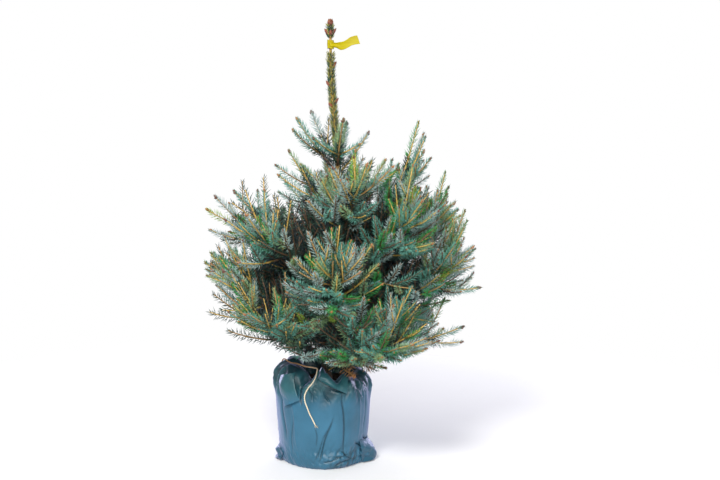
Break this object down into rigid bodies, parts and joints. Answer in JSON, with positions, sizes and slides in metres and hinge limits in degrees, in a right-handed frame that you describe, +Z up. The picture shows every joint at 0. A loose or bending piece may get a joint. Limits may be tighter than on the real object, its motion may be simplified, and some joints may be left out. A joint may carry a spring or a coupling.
{
  "type": "potted blue spruce",
  "caption": "Young blue spruce with whorled boughs and a long leader, standing on a root ball wrapped in a gathered plastic film bag.",
  "frame": {"origin": "middle of the bag's flat underside", "axes": "+Z up along the trunk, -Y towards the front, +X to the right-hand side, where the ribbon's tail and the longest boughs are"},
  "size_m": [0.7179, 0.6984, 1.15],
  "materials": {
    "film": "creased blue-green polythene film with a soft sheen",
    "compost": "moist dark peat and bark compost",
    "bark": "grey-brown young bark with needle scars",
    "needles": "blue-green needles with a waxy bloom",
    "twine": "two-ply jute twine",
    "label": "plain yellow plastic ribbon"
  },
  "bodies": {
    "root": {"pot_bag": "film", "root_ball": "compost", "trunk": "bark", "leader_needles": "needles", "label_ribbon": "label", "twine": "twine", "bough_low_1": "bark", "bough_low_2": "bark", "bough_low_3": "bark", "bough_low_4": "bark", "bough_low_5": "bark", "bough_low_6": "bark", "bough_broad_1": "bark", "bough_broad_2": "bark", "bough_broad_3": "bark", "bough_broad_4": "bark", "bough_broad_5": "bark", "bough_broad_6": "bark", "bough_middle_1": "bark", "bough_middle_2": "bark", "bough_middle_3": "bark", "bough_middle_4": "bark", "bough_middle_5": "bark", "bough_upper_1": "bark", "bough_upper_2": "bark", "bough_upper_3": "bark", "bough_upper_4": "bark", "foliage_foot_1": "needles", "foliage_foot_2": "needles", "foliage_low_1": "needles", "foliage_low_2": "needles", "foliage_low_3": "needles", "foliage_low_4": "needles", "foliage_low_5": "needles", "foliage_low_6": "needles", "foliage_broad_1": "needles", "foliage_broad_2": "needles", "foliage_broad_3": "needles", "foliage_broad_4": "needles", "foliage_broad_5": "needles", "foliage_broad_6": "needles", "foliage_middle_1": "needles", "foliage_middle_2": "needles", "foliage_middle_3": "needles", "foliage_middle_4": "needles", "foliage_middle_5": "needles", "foliage_upper_1": "needles", "foliage_upper_2": "needles", "foliage_upper_3": "needles", "foliage_upper_4": "needles", "foliage_high_1": "needles", "foliage_high_2": "needles", "foliage_high_3": "needles", "foliage_high_4": "needles", "foliage_high_5": "needles", "foliage_top_1": "needles", "foliage_top_2": "needles", "foliage_top_3": "needles", "foliage_top_4": "needles", "foliage_top_5": "needles"}
  },
  "joints": []
}
